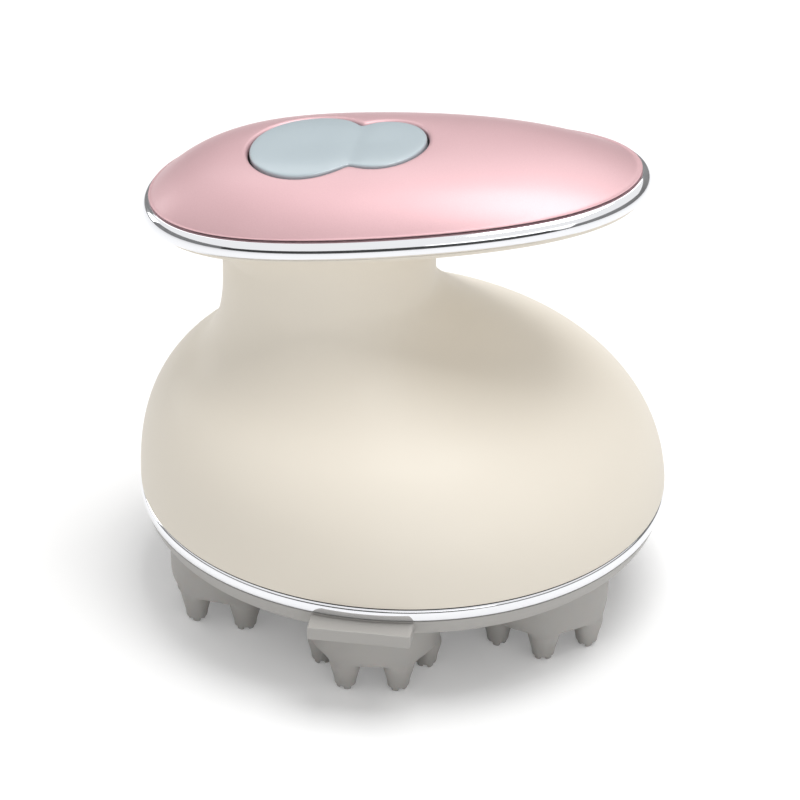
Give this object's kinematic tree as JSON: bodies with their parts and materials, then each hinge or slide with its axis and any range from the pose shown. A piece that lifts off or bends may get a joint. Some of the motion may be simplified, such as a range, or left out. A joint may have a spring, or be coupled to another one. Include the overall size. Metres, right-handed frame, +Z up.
{
  "type": "electric scalp massager",
  "caption": "Handheld electric scalp massager: teardrop palm pad with a rocker key, neck, round body and a pull-off plate of motor-driven heads with soft fingers.",
  "frame": {"origin": "middle of the footprint, on the surface the fingertips stand on", "axes": "+Z up; +X towards the pad's pointed end; -Y towards the pull tab"},
  "size_m": [0.1048, 0.1085, 0.097],
  "materials": {
    "cream_casing": "satin gloss",
    "pearl_pink": "pearl lacquer",
    "polished_chrome": "polished plating",
    "key_silver": "soft gloss",
    "grey_plastic": "fine matte",
    "soft_grey": "soft matte",
    "dark_rubber": "matte",
    "black_plastic": "matte",
    "board_green": "solder mask",
    "gear_plastic": "moulded",
    "steel": "ground",
    "motor_can": "plated",
    "brass": "cut",
    "cell_wrap": "shrink wrap"
  },
  "bodies": {
    "body": {"casing": "cream_casing", "pearl_cover": "pearl_pink", "trim_ring": "polished_chrome", "key_seal": "dark_rubber", "key_tray": "grey_plastic", "switch_board": "board_green", "casing_seal": "dark_rubber", "chrome_band": "polished_chrome", "chassis": "grey_plastic", "chassis_screws": "steel", "gearbox": "steel", "motor": "motor_can", "motor_mount": "steel", "battery_cell": "cell_wrap", "battery_holder": "black_plastic", "main_board": "board_green", "charging_socket": "black_plastic"},
    "key": {"power_key": "key_silver"},
    "drive": {"sun_gear": "gear_plastic", "drive_shaft": "steel", "drive_wheel": "gear_plastic"},
    "motor_rotor": {"motor_pinion": "brass"},
    "head_unit": {"head_plate": "grey_plastic", "gear_cover": "grey_plastic", "gear_cover_screws": "steel"},
    "head_1": {"massage_head_1": "soft_grey", "head_shaft_1": "steel", "head_gear_1": "gear_plastic"},
    "head_2": {"massage_head_2": "soft_grey", "head_shaft_2": "steel", "head_gear_2": "gear_plastic"},
    "head_3": {"massage_head_3": "soft_grey", "head_shaft_3": "steel", "head_gear_3": "gear_plastic"},
    "head_4": {"massage_head_4": "soft_grey", "head_shaft_4": "steel", "head_gear_4": "gear_plastic"},
    "head_5": {"massage_head_5": "soft_grey", "head_shaft_5": "steel", "head_gear_5": "gear_plastic"},
    "head_6": {"massage_head_6": "soft_grey", "head_shaft_6": "steel", "head_gear_6": "gear_plastic"}
  },
  "joints": [
    {"name": "key_rock", "type": "hinge", "parent": "body", "child": "key", "pos_m": [-0.00966, 0.0019, 0.08903], "axis": [0, 1, 0], "range_deg": [-1.8, 1.8], "stiffness_Nm_per_rad": 0.5},
    {"name": "drive_turn", "type": "hinge", "parent": "body", "child": "drive", "pos_m": [0, 0.0019, 0.031], "axis": [0, 0, 1], "continuous": true},
    {"name": "motor_turn", "type": "hinge", "parent": "body", "child": "motor_rotor", "pos_m": [-0.01525, 0.0019, 0.031], "axis": [0, 0, 1], "continuous": true},
    {"name": "head_unit_slide", "type": "slide", "parent": "body", "child": "head_unit", "axis": [0, 0, -1], "range_m": [0, 0.012]},
    {"name": "head_1_turn", "type": "hinge", "parent": "head_unit", "child": "head_1", "pos_m": [0, -0.0336, 0.0162], "axis": [0, 0, 1], "continuous": true},
    {"name": "head_2_turn", "type": "hinge", "parent": "head_unit", "child": "head_2", "pos_m": [0.03074, -0.01585, 0.0162], "axis": [0, 0, 1], "continuous": true},
    {"name": "head_3_turn", "type": "hinge", "parent": "head_unit", "child": "head_3", "pos_m": [0.03074, 0.01965, 0.0162], "axis": [0, 0, 1], "continuous": true},
    {"name": "head_4_turn", "type": "hinge", "parent": "head_unit", "child": "head_4", "pos_m": [0, 0.0374, 0.0162], "axis": [0, 0, 1], "continuous": true},
    {"name": "head_5_turn", "type": "hinge", "parent": "head_unit", "child": "head_5", "pos_m": [-0.03074, 0.01965, 0.0162], "axis": [0, 0, 1], "continuous": true},
    {"name": "head_6_turn", "type": "hinge", "parent": "head_unit", "child": "head_6", "pos_m": [-0.03074, -0.01585, 0.0162], "axis": [0, 0, 1], "continuous": true}
  ],
  "couplings": [
    {"joint": "motor_turn", "follows": "drive_turn", "ratio": -4.0833},
    {"joint": "head_1_turn", "follows": "drive_turn", "ratio": -2.55},
    {"joint": "head_2_turn", "follows": "drive_turn", "ratio": -2.55},
    {"joint": "head_3_turn", "follows": "drive_turn", "ratio": -2.55},
    {"joint": "head_4_turn", "follows": "drive_turn", "ratio": -2.55},
    {"joint": "head_5_turn", "follows": "drive_turn", "ratio": -2.55},
    {"joint": "head_6_turn", "follows": "drive_turn", "ratio": -2.55}
  ]
}
